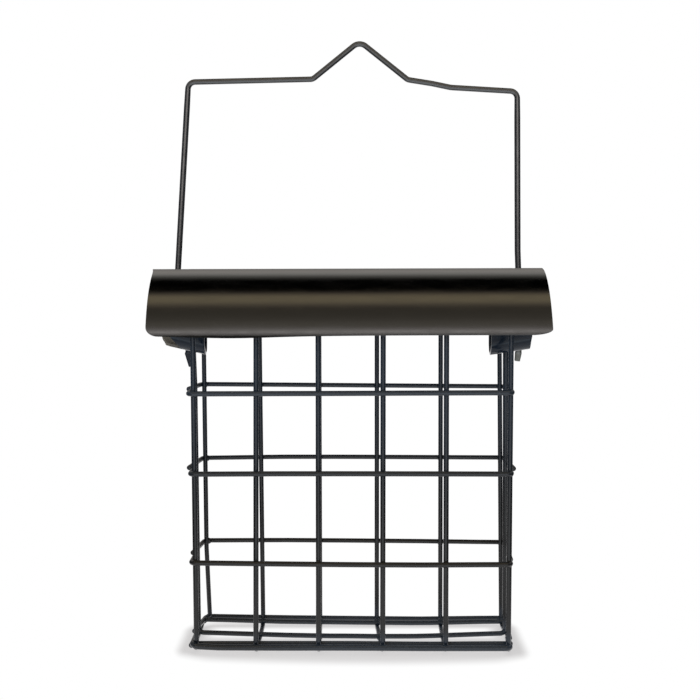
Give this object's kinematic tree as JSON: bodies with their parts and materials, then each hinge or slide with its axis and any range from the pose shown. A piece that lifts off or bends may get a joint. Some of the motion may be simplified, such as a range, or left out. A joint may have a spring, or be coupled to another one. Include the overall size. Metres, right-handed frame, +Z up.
{
  "type": "suet feeder",
  "caption": "Hanging wire cage for a suet block, with a curved sheet roof that slides up its wire bail.",
  "frame": {"origin": "on the ground below the middle of the roof", "axes": "+X along the feeder to the right, -Y to its front, +Z up"},
  "size_m": [0.1702, 0.0564, 0.2647],
  "materials": {
    "cage_coat": "satin black powder coat",
    "bracket_coat": "glossy blue-black powder coat",
    "bail_coat": "satin black powder coat",
    "roof_coat": "satin bronze-black coat"
  },
  "bodies": {
    "cage": {"hoop_1": "cage_coat", "hoop_2": "cage_coat", "hoop_3": "cage_coat", "hoop_4": "cage_coat", "hoop_5": "cage_coat", "hoop_6": "cage_coat", "base_ring_front": "cage_coat", "base_ring_back": "cage_coat", "lower_ring_front": "cage_coat", "lower_ring_back": "cage_coat", "middle_ring_front": "cage_coat", "middle_ring_back": "cage_coat", "upper_ring_front": "cage_coat", "upper_ring_back": "cage_coat", "top_rim": "cage_coat", "base_rail_front": "cage_coat", "base_rail_back": "cage_coat", "centre_stirrup": "cage_coat", "hanger_bracket_left": "bracket_coat", "hanger_bracket_right": "bracket_coat", "bail": "bail_coat"},
    "roof_cover": {"roof": "roof_coat"}
  },
  "joints": [
    {"name": "roof_slide", "type": "slide", "parent": "cage", "child": "roof_cover", "axis": [0, 0, 1], "range_m": [0, 0.064]}
  ]
}
